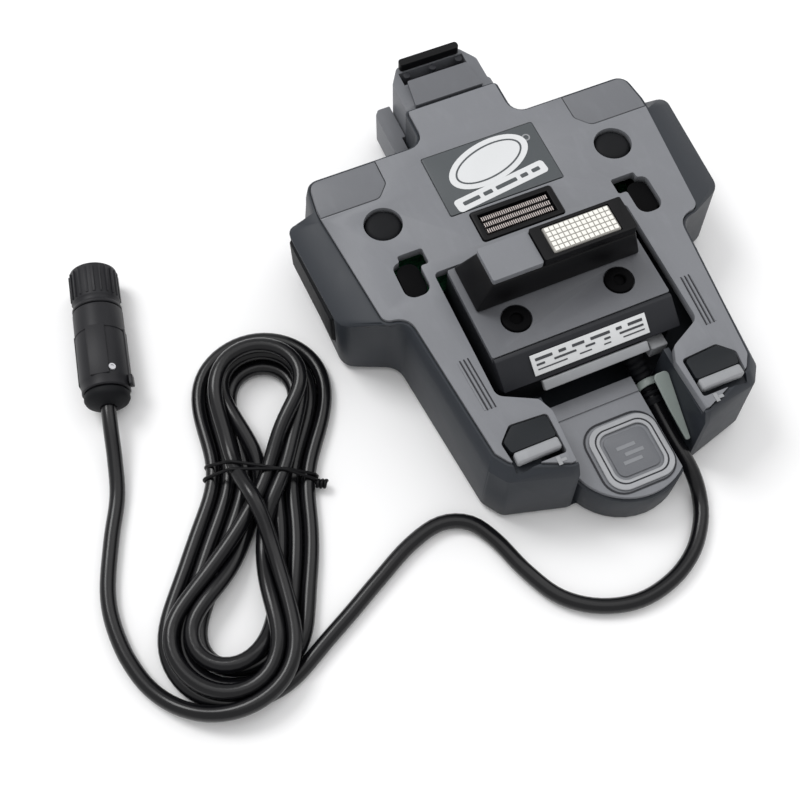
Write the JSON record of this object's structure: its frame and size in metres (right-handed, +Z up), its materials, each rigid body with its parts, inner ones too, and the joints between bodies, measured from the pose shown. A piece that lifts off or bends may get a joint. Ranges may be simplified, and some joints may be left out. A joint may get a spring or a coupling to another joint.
{
  "type": "vehicle docking cradle",
  "caption": "Vehicle docking cradle with a raised connector block, a sprung top latch, two lower claws and a captive lead with a round plug, most of it in a tied hank.",
  "frame": {"origin": "on the ground, at the middle of the cradle's footprint without its lead", "axes": "+Z up out of the docking face, +Y along the cradle towards its latch, +X to its right side, where the lead leaves"},
  "size_m": [0.284, 0.2396, 0.0612],
  "materials": {
    "cover_gray": "fine grained light gray moulding",
    "shell_gray": "satin dark blue-gray moulding",
    "black_plastic": "satin black",
    "rubber": "matt",
    "white_label": "printed film",
    "pale_plastic": "satin pale gray",
    "steel": "plated",
    "board_green": "solder mask",
    "cord_black": "satin jacket"
  },
  "bodies": {
    "root": {"lower_shell": "shell_gray", "top_cover": "cover_gray", "corner_pad_left": "cover_gray", "corner_pad_right": "cover_gray", "bumper_left": "rubber", "bumper_right": "rubber", "slot_pad_left": "rubber", "slot_pad_right": "rubber", "label_plate": "shell_gray", "comb_housing": "black_plastic", "comb_contacts": "steel", "module_body": "shell_gray", "module_shelf": "cover_gray", "module_label": "white_label", "module_strip": "pale_plastic", "module_screw_left": "black_plastic", "module_screw_right": "black_plastic", "cable_anchor": "pale_plastic", "docking_block": "black_plastic", "docking_insert": "cover_gray", "contact_bezel": "black_plastic", "contact_pad": "white_label", "front_cover": "cover_gray", "badge_ring": "pale_plastic", "badge_centre": "cover_gray", "cable_guide": "pale_plastic", "circuit_board": "board_green", "side_grip_left": "rubber", "side_grip_right": "rubber", "foot_rear_left": "rubber", "foot_rear_right": "rubber", "foot_front_left": "rubber", "foot_front_right": "rubber", "claw_pin_left": "steel", "claw_pin_right": "steel", "latch_spring_left": "steel", "latch_spring_right": "steel", "strain_relief": "rubber", "cord_lead": "cord_black", "cord_hank": "cord_black", "cord_tail": "cord_black", "cord_tie": "black_plastic", "connector_boot": "rubber", "connector_body": "black_plastic", "connector_face": "pale_plastic"},
    "latch": {"latch_head": "shell_gray", "latch_panel": "cover_gray", "latch_hook": "black_plastic", "latch_catch": "steel", "latch_tab_left": "cover_gray", "latch_tab_right": "cover_gray", "latch_rod_left": "steel", "latch_rod_right": "steel"},
    "claw_left": {"claw_left": "black_plastic", "claw_bar_left": "pale_plastic"},
    "claw_right": {"claw_right": "black_plastic", "claw_bar_right": "pale_plastic"},
    "coupling": {"coupling_ring": "black_plastic"}
  },
  "joints": [
    {"name": "latch_slide", "type": "slide", "parent": "root", "child": "latch", "axis": [0, 1, 0], "range_m": [0, 0.0045], "stiffness_N_per_m": 350, "springref_m": -0.004, "deforming": ["latch_spring_left", "latch_spring_right"]},
    {"name": "claw_left_tilt", "type": "hinge", "parent": "root", "child": "claw_left", "pos_m": [-0.0365, -0.072, 0.0315], "axis": [1, 0, 0], "range_deg": [0, 8], "stiffness_Nm_per_rad": 0.06},
    {"name": "claw_right_tilt", "type": "hinge", "parent": "root", "child": "claw_right", "pos_m": [0.0365, -0.072, 0.0315], "axis": [1, 0, 0], "range_deg": [0, 8], "stiffness_Nm_per_rad": 0.06},
    {"name": "coupling_turn", "type": "hinge", "parent": "root", "child": "coupling", "pos_m": [-0.16293, 0.06329, 0.0099], "axis": [0.186, 0.9825, 0], "range_deg": [0, 90]}
  ]
}
